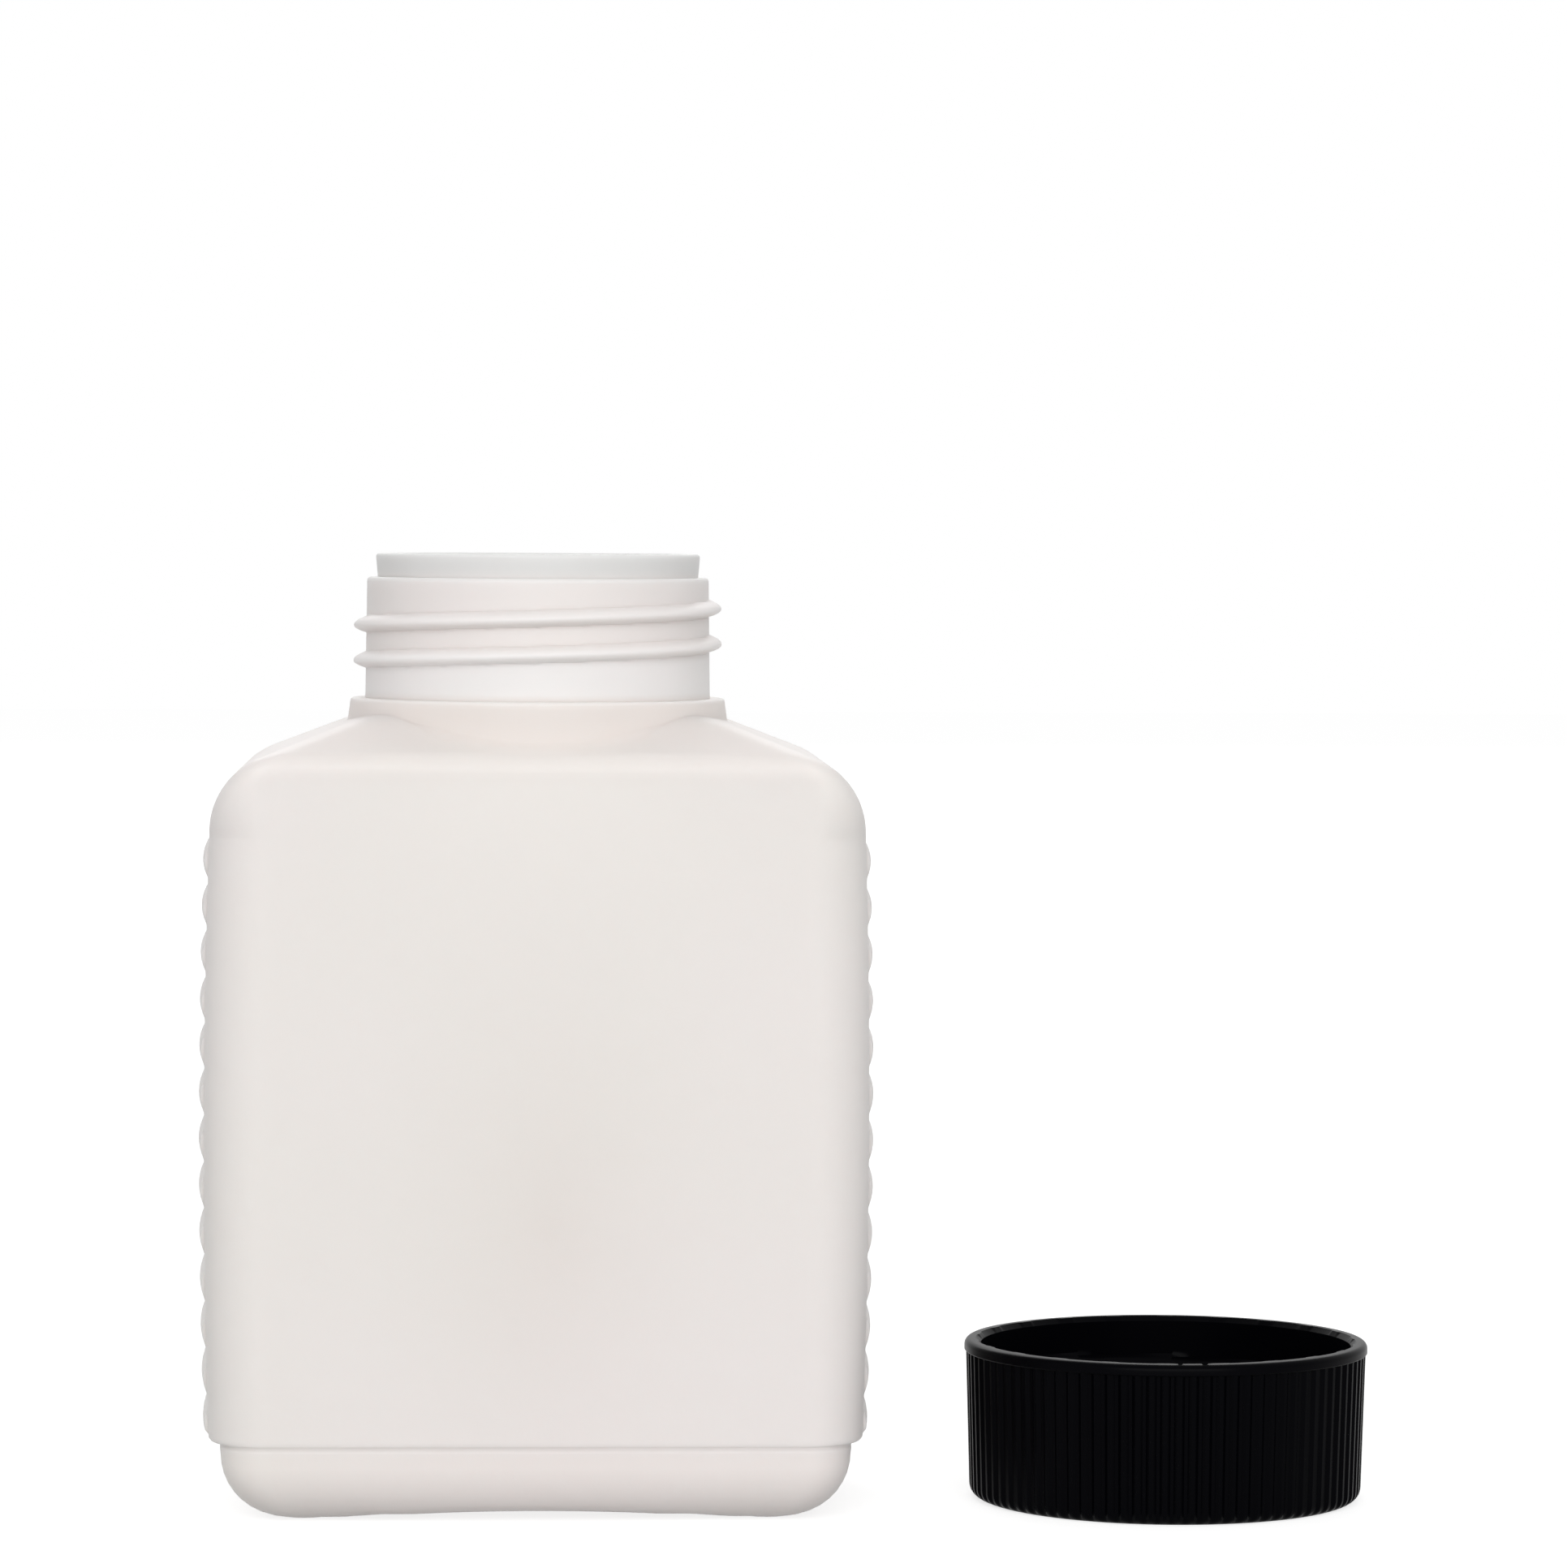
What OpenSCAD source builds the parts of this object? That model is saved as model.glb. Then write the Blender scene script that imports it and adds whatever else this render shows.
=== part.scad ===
// Rectangular wide-neck bottle, blow moulded in one piece, with its screw cap beside it.
// The origin is on the neck's axis, on the plane the bottle stands on. +Z is up,
// +X runs across the wide faces and -Y is the front.

/* [Body] */
// Width of the body across its corners, half way up
body_w = 96.5; // [88:0.2:130]
// Depth of the body from the front face to the back face
body_d = 61; // [60:0.5:76]
// Height at which the side walls turn into the shoulder
wall_top = 99.6; // [70:0.2:150]
// How far each narrow side swells out half way up
side_swell = 0.7; // [0:0.05:1.5]
// Radius of the four upright corners
corner_r = 8.8; // [6:0.2:11]
// Thickness of the blown wall
wall = 1.2; // [0.8:0.1:1.6]

/* [Shoulder] */
// Radius that rolls the narrow sides over into the shoulder
side_roll = 12.2; // [9:0.1:14]
// Slope of the shoulder towards the narrow sides, in degrees
side_slope = 21.5; // [18:0.5:26]
// Radius that rolls the wide faces over into the shoulder
face_roll = 3.6; // [2.6:0.2:5]
// Slope of the shoulder towards the wide faces, in degrees
face_slope = 28; // [24:0.5:34]
// How much lower the shoulder meets the collar at the front than at the sides
face_drop = 3.5; // [3:0.1:6]
// Radius of the hips, where two slopes meet beside the neck
hip_r = 2.8; // [2:0.1:5]

/* [Grip] */
// Number of ribs on each narrow side
rib_count = 13; // [9:1:17]
// How far a rib's crest stands above the grooves beside it
rib_rise = 1.3; // [0.8:0.1:1.8]
// How far the grooves stand out from the wall at the middle of the side
grip_crown = 0.2; // [0.1:0.1:1]
// How far a rib's crest still stands out where it ends at the corner
rib_end = 0.5; // [0.1:0.1:0.8]
// Plain wall left above the top rib
rib_gap = 0.6; // [0:0.1:1.5]
// How much of the lowest rib the foot's step cuts off
rib_cut = 2.5; // [0:0.1:3]

/* [Foot] */
// Height of the stepped-in foot
foot_h = 10.8; // [9:0.2:14]
// How far the foot is set in from the walls
foot_inset = 1.8; // [0.8:0.1:2.5]
// Radius that rolls the foot under to the standing edge
foot_roll = 8.8; // [6:0.2:9]
// Width of the flat standing edge
stand_w = 1.6; // [1:0.1:3]
// How far the standing edge lifts between the corners
foot_arch = 1; // [0.4:0.1:1.4]
// How far the base panel is pushed up
push_up = 2.4; // [1.6:0.1:4]
// Thickness of the base
base_wall = 2; // [1.8:0.1:3]

/* [Neck] */
// Outside diameter over the thread, which the neck, collar and cap follow
thread_d = 54.2; // [50:0.1:54.6]
// Height of the neck above the collar, lip ring included
neck_h = 21.3; // [19:0.1:26]
// Thickness of the neck behind the thread
neck_wall = 2.75; // [2.4:0.05:3.2]
// How much the neck widens down to the collar, on the radius
neck_draft = 0.25; // [0:0.05:0.4]
// Height of the lip ring
lip_h = 3.5; // [2:0.1:4]
// How far the lip ring is set in from the neck
lip_step = 1.3; // [0.8:0.05:1.5]
// How much the lip ring narrows below the mouth, on the radius
lip_taper = 0.25; // [0:0.05:0.4]
// Height of the collar above the shoulder's ridge
collar_h = 3.3; // [2.6:0.1:5]
// How far the collar stands out past the thread
collar_out = 0.95; // [0.6:0.05:1.1]
// Wall left behind the collar
collar_wall = 2; // [1.5:0.1:2.6]

/* [Thread] */
// How far the ridge stands out from the neck
thread_rise = 1.85; // [1.5:0.05:2.1]
// Climb of the thread in one turn
thread_pitch = 5.22; // [4.8:0.02:6]
// Number of turns
thread_turns = 1.75; // [1.25:0.05:2]
// Distance from the lip down to the crest where the thread starts
thread_start = 7.4; // [6.4:0.1:9]
// Direction in which the thread starts, from the right-hand side towards the back
thread_angle = 45; // [0:5:355]
// Height of the ridge's gentle upper flank
flank_up = 1.4; // [1:0.05:1.7]
// Height of the ridge's steep lower flank
flank_down = 1.05; // [0.8:0.05:1.3]

/* [Cap] */
// Thickness of the cap's skirt at the rim band
cap_wall = 2.45; // [2.2:0.05:4]
// Thickness of the closed end
cap_end = 1.8; // [1.4:0.1:2.2]
// Height of the land that the lip closes against
land_h = 1; // [0.6:0.1:2]
// Height of the smooth band at the rim
band_h = 1.7; // [1:0.1:3]
// How far the band stands out from the knurls
band_step = 0.25; // [0.1:0.05:0.5]
// Number of knurls round the cap
knurl_count = 90; // [60:2:110]
// Depth of the grooves between the knurls
knurl_depth = 0.45; // [0.2:0.05:0.6]
// How much the knurled skirt narrows towards the closed end, on the radius
cap_draft = 0.6; // [0.1:0.05:0.8]
// Radius of the closed end's edge
cap_round = 2; // [1:0.1:2.4]
// Height of the lead-in that opens the rim
lead_h = 0.9; // [0.8:0.1:2]
// How far the lead-in opens the rim, on the radius
lead_w = 0.5; // [0.4:0.05:1.2]
// Number of turns of the cap's own thread
cap_turns = 1.5; // [1.25:0.05:2]
// Distance from the rim down to the ridge where the cap's thread starts
cap_thread_start = 3.4; // [3:0.1:5]
// Thickness of the sealing ring
plug_wall = 1.2; // [0.8:0.1:1.6]
// Height of the sealing ring above the closed end
plug_h = 5; // [3:0.2:6]
// Distance from the bottle's axis to the cap's axis
cap_x = 93.9; // [88:0.1:130]
// Distance of the cap's axis behind the bottle's axis, less than 0 in front of it
cap_y = -2; // [-10:0.5:10]

/* [Fits] */
// Clearance between the cap's inside and the bottle's thread, on the radius
thread_clear = 0.45; // [0.3:0.05:0.6]
// Clearance between the sealing ring and the mouth, on the radius
plug_clear = 0.1; // [0.05:0.05:0.2]
// Gap left between the rim and the collar when the cap is closed
closed_gap = 0.5; // [0.3:0.1:1]

/* [Hidden] */
natural = [0.92, 0.90, 0.88];
black = [0.05, 0.05, 0.07];
fine = 96;
corner_steps = 8;
roll_steps = 7;
thread_steps = 48;
edge_r = 0.5;
collar_taper = 0.35;
panel_run = 3;
sink = 0.6;
over = 1;

// Half sizes of the plan, at the walls and at the foot
half_d = body_d / 2;
end_w = body_w / 2 - side_swell;
foot_w = end_w - foot_inset;
foot_d = half_d - foot_inset;
foot_corner = corner_r - foot_inset;
wall_foot = foot_h + foot_inset;

// Heights where each roll ends and its slope begins, and how far in that is
side_rise = side_roll * cos(side_slope);
side_in = side_roll * (1 - sin(side_slope));
face_rise = face_roll * cos(face_slope);
face_in = face_roll * (1 - sin(face_slope));

// Radii and heights of the neck
crest_r = thread_d / 2;
neck_r = crest_r - thread_rise;
mouth_r = neck_r - neck_wall;
lip_r = neck_r - lip_step;
collar_r = crest_r + collar_out;
ridge_z = wall_top + side_rise + (end_w - side_in - collar_r) * tan(side_slope);
collar_z = ridge_z + collar_h;
top_z = collar_z + neck_h;
face_top = ridge_z - face_drop - (half_d - face_in - collar_r) * tan(face_slope) - face_rise;

// Radii and height of the cap, which closes over the neck
cavity_r = crest_r + thread_clear;
cap_r = cavity_r + cap_wall;
knurl_r = cap_r - band_step;
cap_h = cap_end + land_h + neck_h - closed_gap;

// Half width at a height, at a depth of skin below the outside
function side_at(z, skin) =
    let (u = 2 * (z - wall_foot) / (wall_top - wall_foot) - 1,
        roll = side_roll - skin,
        roll_end = wall_top + roll * cos(side_slope))
    z <= wall_top ? end_w + side_swell * (1 - u * u) - skin :
    z <= roll_end ? end_w - side_roll + sqrt(roll * roll - pow(z - wall_top, 2)) :
    end_w - side_roll + roll * sin(side_slope) - (z - roll_end) / tan(side_slope);

// Half depth at a height, at a depth of skin below the outside
function face_at(z, skin) =
    let (roll = face_roll - skin, roll_end = face_top + roll * cos(face_slope))
    z <= face_top ? half_d - skin :
    z <= roll_end ? half_d - face_roll + sqrt(roll * roll - pow(z - face_top, 2)) :
    half_d - face_roll + roll * sin(face_slope) - (z - roll_end) / tan(face_slope);

// Corner radius at a height: full at the walls, down to the hip radius on the slopes
function corner_at(z, skin) =
    max(1, corner_r + (hip_r - corner_r) * max(0, min(1, (z - wall_top) / side_rise)) - skin);

// One section of the body: [half width, half depth, corner radius, height]
function section(z, skin) = [side_at(z, skin), face_at(z, skin), corner_at(z, skin), z];

// Heights of the sections from the foot's step up to the top of the loft
function levels(top) = [
    for (i = [1:6]) wall_foot + (wall_top - wall_foot) * i / 6,
    for (i = [1:5]) wall_top + (face_top - wall_top) * i / 5,
    for (i = [1:4]) face_top + face_rise * sin(22.5 * i),
    for (i = [1:3]) face_top + face_rise + (top - face_top - face_rise) * i / 3
];

// A section set in from the foot's plan, at a height
function foot_section(inset, z) =
    [foot_w - inset, foot_d - inset, max(1, foot_corner - inset), z];

// Foot: the pushed-up panel, the standing edge, then the roll up to the foot's wall
function foot_sections(skin) = [
    foot_section(foot_roll + stand_w + 2 * panel_run, push_up + skin),
    foot_section(foot_roll + stand_w + panel_run, push_up * 0.8 + skin),
    foot_section(foot_roll + stand_w, skin),
    for (i = [roll_steps:-1:0])
        let (a = 90 * i / roll_steps, roll = foot_roll - skin)
        foot_section(foot_roll - roll * cos(a), foot_roll - roll * sin(a))
];

// Step: the foot's wall flares out to the body's wall on a quarter round
function step_sections(skin) = [for (i = [0:3])
    let (out = foot_inset * sin(30 * i) - skin)
    [foot_w + out, foot_d + out, max(1, foot_corner + out), foot_h + foot_inset * (1 - cos(30 * i))]];

// Points of a section, going round from the right-hand corners
function section_points(s) = [
    for (q = [0:3])
        let (cx = (q == 0 || q == 3 ? 1 : -1) * (s[0] - s[2]), cy = (q < 2 ? 1 : -1) * (s[1] - s[2]))
        for (i = [0:corner_steps])
            let (a = 90 * (q + i / corner_steps))
            [cx + s[2] * cos(a), cy + s[2] * sin(a), s[3]]
];

// Solid through a list of sections, closed flat at both ends
module loft(sections) {
    n = 4 * (corner_steps + 1);
    last = (len(sections) - 1) * n;
    points = [for (s = sections) each section_points(s)];
    sides = [for (k = [0:len(sections) - 2], i = [0:n - 1])
        let (a = k * n + i, b = k * n + (i + 1) % n)
        each [[a, a + n, b], [b, a + n, b + n]]];
    polyhedron(points, concat([[for (i = [0:n - 1]) i]], sides, [[for (i = [n - 1:-1:0]) last + i]]));
}

// One column of ribs. Every crest follows the same wide arc and ends where the corner begins
module grip_column(skin) {
    low = wall_foot - rib_cut;
    pitch = (wall_top - rib_gap - low) / rib_count;
    rib_r = (pitch * pitch / 4 + rib_rise * rib_rise) / (2 * rib_rise);
    half = half_d - corner_r;
    sag = grip_crown + rib_rise - rib_end;
    arc_r = (half * half + sag * sag) / (2 * sag);
    turn = asin(half / arc_r);
    translate([end_w + grip_crown + rib_rise - arc_r, 0, 0])
        rotate([0, 0, -turn])
        rotate_extrude(angle = 2 * turn, $fn = fine)
        intersection() {
            for (k = [0:rib_count - 1]) {
                z = low + pitch * (k + 0.5);
                translate([arc_r - rib_r + side_at(z, 0) - end_w, z])
                    circle(r = rib_r - skin, $fn = fine);
            }
            translate([0, wall_foot + skin])
                square([arc_r * 2, wall_top + pitch]);
        }
}

// The standing edge lifts between the corners: a very wide cylinder shaves it from below
module arch_cut() {
    reach = foot_w - foot_roll - stand_w;
    r = (reach * reach + foot_arch * foot_arch) / (2 * foot_arch);
    translate([0, 0, foot_arch - r])
        rotate([90, 0, 0])
        cylinder(r = r, h = body_d, center = true, $fn = 4 * fine);
}

// Outside of the collar and of the lip ring, joined by a core inside the threaded neck
module neck_outside() {
    core_r = lip_r - lip_taper;
    rotate_extrude($fn = fine)
        polygon([
            [0, face_top], [collar_r, face_top], [collar_r, ridge_z],
            for (a = [0:30:90])
                [collar_r - collar_taper - edge_r * (1 - cos(a)), collar_z - edge_r * (1 - sin(a))],
            [core_r, collar_z], [core_r, top_z - lip_h],
            for (a = [0:30:90])
                [lip_r - edge_r * (1 - cos(a)), top_z - edge_r * (1 - sin(a))],
            [0, top_z]
        ]);
}

// Bore of the neck, which widens behind the collar into the shoulder
module neck_inside() {
    wide_r = collar_r - collar_wall;
    rotate_extrude($fn = fine)
        polygon([[0, face_top - over], [wide_r, face_top - over], [wide_r, ridge_z - collar_wall],
            [mouth_r, collar_z - collar_wall / 2], [mouth_r, top_z + over], [0, top_z + over]]);
}

// Rod with one helical ridge, as one closed skin that winds round with the thread. top and bottom
// are rings of [radius, height] beyond the thread. The profile lists [distance out, height] from
// the upper flank to the lower one. The ridge fades at both ends
module threaded_rod(profile, turns, start, top, bottom) {
    n = thread_steps;
    end = ceil(turns * n);
    m = len(profile);
    fade = n / 12;
    upper = top[len(top) - 1];
    lower = bottom[0];
    function rod_r(z) = upper[0] + (lower[0] - upper[0]) * (upper[1] - z) / (upper[1] - lower[1]);
    function at(r, z, i) = [r * cos(-360 * i / n), r * sin(-360 * i / n), z];
    function groove_z(i) = start + thread_pitch * (0.5 - i / n);
    function full(i) = min(1, i / fade, (end - i) / fade);
    points = concat(
        [for (s = concat(top, bottom), i = [0:n - 1]) at(s[0], s[1], i)],
        [for (i = [0:end + n]) at(rod_r(groove_z(i)), groove_z(i), i)],
        [for (i = [0:end], p = profile)
            let (z = start - thread_pitch * i / n + p[1])
            at(rod_r(z) + p[0] * full(i), z, i)]);

    // Indices: rings from the top down, then the groove's line, then the ridge column by column
    rings = len(top) + len(bottom);
    function ring(s, i) = s * n + i % n;
    function groove(i) = rings * n + i;
    function ridge(i, j) = rings * n + end + n + 1 + i * m + j;
    function column(i) = [groove(i), for (j = [0:m - 1]) ridge(i, j), groove(i + n)];
    function strip(a, b) = [for (k = [0:len(a) - 2])
        each [[b[k], a[k], a[k + 1]], [b[k], a[k + 1], b[k + 1]]]];
    function ring_column(i) = [for (s = [0:len(top) - 1]) ring(s, i)];
    function foot_column(i) = [for (s = [len(top):rings - 1]) ring(s, i)];
    first = concat([ring(len(top) - 1, 0)], column(0));
    final = concat(column(end), [ring(len(top), end)]);
    above = ring(len(top) - 1, n - 1);
    faces = concat(
        [[for (i = [0:n - 1]) ring(0, i)]],
        [for (i = [0:n - 1]) each strip(ring_column(i), ring_column(i + 1))],
        [for (i = [0:n - 2])
            each strip([ring(len(top) - 1, i), groove(i)], [ring(len(top) - 1, i + 1), groove(i + 1)])],
        [[first[0], above, groove(n - 1)]],
        [for (k = [0:m + 1]) [first[k], groove(n - 1), first[k + 1]]],
        [for (i = [0:end - 1]) each strip(column(i), column(i + 1))],
        [for (k = [0:m + 1]) [groove(end + 1), final[k], final[k + 1]]],
        [[groove(end + 1), ring(len(top), end), ring(len(top), end + 1)]],
        [for (i = [end + 1:end + n - 1])
            each strip([groove(i), ring(len(top), i)], [groove(i + 1), ring(len(top), i + 1)])],
        [for (i = [0:n - 1]) each strip(foot_column(i), foot_column(i + 1))],
        [[for (i = [n - 1:-1:0]) ring(rings - 1, i)]]);
    polyhedron(points, faces);
}

// Threaded part of the neck, from inside the collar up to the step below the lip ring
module neck_thread() {
    step_z = top_z - lip_h;
    profile = [[0, flank_up], [thread_rise * 0.5, flank_up * 0.6], [thread_rise * 0.85, flank_up * 0.3],
        [thread_rise, 0], [thread_rise * 0.93, -flank_down * 0.4], [thread_rise * 0.62, -flank_down * 0.75],
        [0, -flank_down]];
    edge = [for (a = [90:-30:0]) [neck_r - edge_r * (1 - cos(a)), step_z - edge_r * (1 - sin(a))]];
    foot = [[neck_r + neck_draft, collar_z - sink]];
    rotate([0, 0, thread_angle])
        threaded_rod(profile, thread_turns, top_z - thread_start, edge, foot);
}

module bottle() color(natural) {
    difference() {
        union() {
            loft(concat(foot_sections(0), step_sections(0),
                [for (z = levels(collar_z + over)) section(z, 0)]));
            grip_column(0);
            mirror([1, 0, 0]) grip_column(0);
            neck_outside();
            neck_thread();
        }
        loft(concat(foot_sections(base_wall), step_sections(wall),
            [for (z = levels(collar_z - collar_wall)) section(z, wall)]));
        grip_column(wall);
        mirror([1, 0, 0]) grip_column(wall);
        neck_inside();
        arch_cut();
    }
}

// Outline of the knurled skirt: a ring of short crests and flat grooves
module knurl_ring(r) {
    crest_from = 0.05;
    crest_to = 0.35;
    groove_from = 0.55;
    groove_to = 0.85;
    polygon([for (k = [0:knurl_count - 1],
            p = [[crest_from, 0], [crest_to, 0], [groove_from, knurl_depth], [groove_to, knurl_depth]])
        let (a = 360 * (k + p[0]) / knurl_count)
        [(r - p[1]) * cos(a), (r - p[1]) * sin(a)]]);
}

// Outside of the cap, standing on its closed end: tapered knurls up to the smooth band
module cap_outside() {
    foot_r = knurl_r - cap_draft;
    band_edge = 0.3;
    intersection() {
        linear_extrude(height = cap_h - band_h / 2, scale = knurl_r / foot_r) knurl_ring(foot_r);
        rotate_extrude($fn = fine)
            polygon([[0, 0],
                for (a = [0:15:90])
                    [foot_r - cap_round + cap_round * sin(a), cap_round * (1 - cos(a))],
                [cap_r, cap_round + over], [cap_r, cap_h], [0, cap_h]]);
    }
    translate([0, 0, cap_h - band_h])
        rotate_extrude($fn = fine)
        polygon([[0, 0], [cap_r - band_edge / 2, 0], [cap_r, band_edge / 2], [cap_r, band_h - band_edge],
            [cap_r - band_edge, band_h], [0, band_h]]);
}

// Inside of the cap: a rod whose helical groove leaves the cap's thread standing
module cap_cavity() {
    rise = cavity_r - neck_r - neck_draft - thread_clear;
    crest_w = 0.2;
    profile = [[0, flank_down], [-rise * 0.8, crest_w * 2.5], [-rise, crest_w],
        [-rise, -crest_w], [-rise * 0.8, -crest_w * 2.5], [0, -flank_down]];
    threaded_rod(profile, cap_turns, cap_h - cap_thread_start,
        [[cavity_r, cap_h + over]], [[cavity_r, cap_end]]);
}

// The lead-in opens the rim over the thread
module cap_lead_in() {
    rotate_extrude($fn = fine)
        polygon([[0, cap_h - lead_h], [cavity_r, cap_h - lead_h], [cavity_r + lead_w, cap_h],
            [cavity_r + lead_w, cap_h + over], [0, cap_h + over]]);
}

// Sealing ring that plugs the mouth, on the low land that the lip closes against
module cap_seal() {
    seal_r = mouth_r - plug_clear;
    rotate_extrude($fn = fine)
        polygon([[0, cap_end / 2], [neck_r, cap_end / 2], [neck_r, cap_end + land_h],
            [seal_r, cap_end + land_h], [seal_r, cap_end + plug_h], [seal_r - plug_wall, cap_end + plug_h],
            [seal_r - plug_wall, cap_end], [0, cap_end]]);
}

module cap() color(black) translate([cap_x, cap_y, 0]) {
    difference() {
        cap_outside();
        cap_cavity();
        cap_lead_in();
    }
    cap_seal();
}

bottle();
cap();
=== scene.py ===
# Rectangular wide-neck bottle of translucent polyethylene, with its black screw cap beside it.
# Sizes are in millimetres and are turned into metres where a mesh is made or a size is given to a
# node tree. Angles are in degrees up to where radians() is called on them. The origin is on the
# neck's axis, on the plane the bottle stands on: +Z is up, +X runs across the wide faces, -Y is the
# front.
from math import ceil, cos, hypot, pi, radians, sin, sqrt, tan

import bpy
from mathutils import Matrix, Vector


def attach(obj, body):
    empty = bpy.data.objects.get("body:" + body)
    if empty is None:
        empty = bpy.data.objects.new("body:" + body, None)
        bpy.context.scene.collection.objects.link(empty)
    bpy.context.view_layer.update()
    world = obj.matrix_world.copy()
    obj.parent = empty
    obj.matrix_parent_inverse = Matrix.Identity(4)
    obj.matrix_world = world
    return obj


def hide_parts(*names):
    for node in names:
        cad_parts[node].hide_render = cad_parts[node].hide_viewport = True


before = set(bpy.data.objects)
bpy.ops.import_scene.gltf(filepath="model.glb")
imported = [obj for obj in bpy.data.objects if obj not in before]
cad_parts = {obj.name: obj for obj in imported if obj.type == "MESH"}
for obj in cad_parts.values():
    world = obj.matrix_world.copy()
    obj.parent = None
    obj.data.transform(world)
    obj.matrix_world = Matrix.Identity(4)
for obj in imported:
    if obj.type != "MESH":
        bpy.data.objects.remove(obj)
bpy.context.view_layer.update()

MM = 0.001
# Keeps points that lie on a limit to one side of it, in metres
MARGIN = 1e-7

# Body
BODY_W = 96.5
BODY_D = 61.0
WALL_TOP = 99.6
SIDE_SWELL = 0.7
CORNER_R = 8.8
LEAST_CORNER_R = 0.6
WALL = 1.2

# Shoulder
SIDE_ROLL = 12.2
SIDE_SLOPE = radians(21.5)
FACE_ROLL = 3.6
FACE_SLOPE = radians(28)
FACE_DROP = 3.5
HIP_R = 2.8

# Grip
RIB_COUNT = 13
RIB_RISE = 1.3
GRIP_CROWN = 0.2
RIB_END = 0.5
RIB_GAP = 0.6
RIB_CUT = 2.5
RIB_BLEND = 0.2

# Foot
FOOT_H = 10.8
FOOT_INSET = 1.8
FACE_INSET = 0.4
FOOT_ROLL = 10.0
STAND_W = 1.6
FOOT_ARCH = 1.5
FOOT_EDGE_CORNER = 2.0
FOOT_CORNER_FALL = 0.4
BEAD_OUT = 0.07
BEAD_Z = -0.2
BEAD_H = 0.15
HOLLOW_OUT = 0.03
LEDGE = 0.75
LEDGE_HOLLOW = 0.65
LEDGE_ROUND = 0.8
LEVEL_GAP = 0.15
PUSH_UP = 2.4
BASE_WALL = 2.0
PANEL_RUN = 3.0
PANEL_RISE = PUSH_UP * 0.8
PANEL_CORNER = 1.0
STAND_EDGE_W = 0.4
STAND_EDGE_H = 0.1

# Neck
THREAD_D = 54.2
NECK_H = 21.3
NECK_WALL = 2.75
NECK_DRAFT = 0.25
LIP_H = 3.5
LIP_STEP = 1.3
LIP_TAPER = 0.25
MOUTH_EDGE = 0.25
BORE_EDGE = 0.1
COLLAR_H = 3.3
COLLAR_OUT = 0.95
COLLAR_WALL = 2.0
COLLAR_TAPER = 0.35
COLLAR_FILLET = 1.6
FILLET_RISE = 1.2
FILLET_ROOM = 2.6
LEAST_FILLET = 0.25
HIP_LIMIT = 1.3
HIP_BLEND = 2.0
EDGE_R = 0.5

# Thread
THREAD_RISE = 1.85
THREAD_PITCH = 5.22
THREAD_TURNS = 1.75
THREAD_START = 7.4
THREAD_ANGLE = 45.0
FLANK_UP = 1.3
FLANK_DOWN = 1.05
CREST_POWER = 0.85
THREAD_RUN_OUT = 30

# Cap
CAP_WALL = 2.45
CAP_END = 1.8
LAND_H = 1.0
BAND_H = 1.7
BAND_STEP = 0.25
KNURL_COUNT = 90
KNURL_DEPTH = 0.45
KNURL_MIDDLE = 0.5
KNURL_SWING = 0.8
KNURL_FADE = 1.6
CAP_DRAFT = 0.6
CAP_ROUND = 2.0
CAP_EDGE = 0.3
CAP_LIP_ROUND = 0.9
LEAD_H = 0.75
LEAD_W = 0.75
PAD_COUNT = 22
PAD_W = 0.25
PAD_SPAN = 5.0
PAD_EDGE = 1.0
PAD_TURN = 83.9
NICK_ANGLES = (-91.7, -84.5)
NICK_SPAN = 1.2
NICK_DEPTH = 0.4
CAP_TURNS = 1.5
CAP_THREAD_START = 3.4
PLUG_WALL = 1.2
PLUG_H = 5.0
PLUG_LEAD = 0.3
PLUG_EDGE = 0.2
END_RINGS = (6.0, 14.0)
WELL_RINGS = (12.0, 4.0)
CAP_X = 93.9
CAP_Y = -2.0
THREAD_CLEAR = 0.45
PLUG_CLEAR = 0.1
CLOSED_GAP = 0.5

# Worked out from the sizes above
HALF_D = BODY_D / 2
END_W = BODY_W / 2 - SIDE_SWELL
FOOT_W = END_W - FOOT_INSET
FOOT_D = HALF_D - FACE_INSET
FOOT_CORNER = CORNER_R - FOOT_INSET
WALL_FOOT = FOOT_H + FOOT_INSET
SIDE_RISE = SIDE_ROLL * cos(SIDE_SLOPE)
SIDE_IN = SIDE_ROLL * (1 - sin(SIDE_SLOPE))
FACE_RISE = FACE_ROLL * cos(FACE_SLOPE)
FACE_IN = FACE_ROLL * (1 - sin(FACE_SLOPE))
CREST_R = THREAD_D / 2
NECK_R = CREST_R - THREAD_RISE
MOUTH_R = NECK_R - NECK_WALL
LIP_R = NECK_R - LIP_STEP
COLLAR_R = CREST_R + COLLAR_OUT
RIDGE_Z = WALL_TOP + SIDE_RISE + (END_W - SIDE_IN - COLLAR_R) * tan(SIDE_SLOPE)
COLLAR_Z = RIDGE_Z + COLLAR_H
TOP_Z = COLLAR_Z + NECK_H
STEP_Z = TOP_Z - LIP_H
FACE_TOP = RIDGE_Z - FACE_DROP - (HALF_D - FACE_IN - COLLAR_R) * tan(FACE_SLOPE) - FACE_RISE
CAVITY_R = CREST_R + THREAD_CLEAR
CAP_R = CAVITY_R + CAP_WALL
KNURL_R = CAP_R - BAND_STEP
CAP_H = CAP_END + LAND_H + NECK_H - CLOSED_GAP
RIB_LOW = WALL_FOOT - RIB_CUT
RIB_PITCH = (WALL_TOP - RIB_GAP - RIB_LOW) / RIB_COUNT
RIB_R = (RIB_PITCH ** 2 / 4 + RIB_RISE ** 2) / (2 * RIB_RISE)
GRIP_HALF = HALF_D - CORNER_R
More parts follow.
